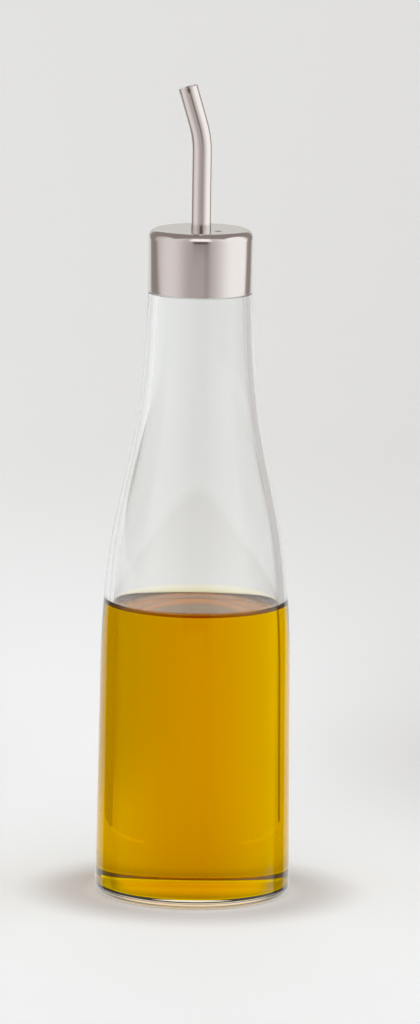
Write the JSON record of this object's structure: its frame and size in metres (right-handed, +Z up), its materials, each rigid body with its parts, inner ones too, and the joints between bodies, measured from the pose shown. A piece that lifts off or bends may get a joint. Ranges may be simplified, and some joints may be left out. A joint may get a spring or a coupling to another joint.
{
  "type": "oil dispenser bottle",
  "caption": "Clear glass bottle half filled with golden cooking oil, with a steel cap and a thin bent steel pouring spout.",
  "frame": {"origin": "centre of the bottle's base, on the surface that it stands on", "axes": "+Z up along the bottle's axis; the upper end of the spout leans to -X; the vent hole is on the -Y side"},
  "size_m": [0.0662, 0.0662, 0.2763],
  "materials": {
    "glass": "clear, smooth, thick pressed glass",
    "oil": "clear golden cooking oil",
    "cap_steel": "satin stainless steel, drawn and polished",
    "spout_steel": "polished stainless steel tube"
  },
  "bodies": {
    "root": {"bottle": "glass", "oil": "oil", "cap": "cap_steel", "spout": "spout_steel"}
  },
  "joints": []
}
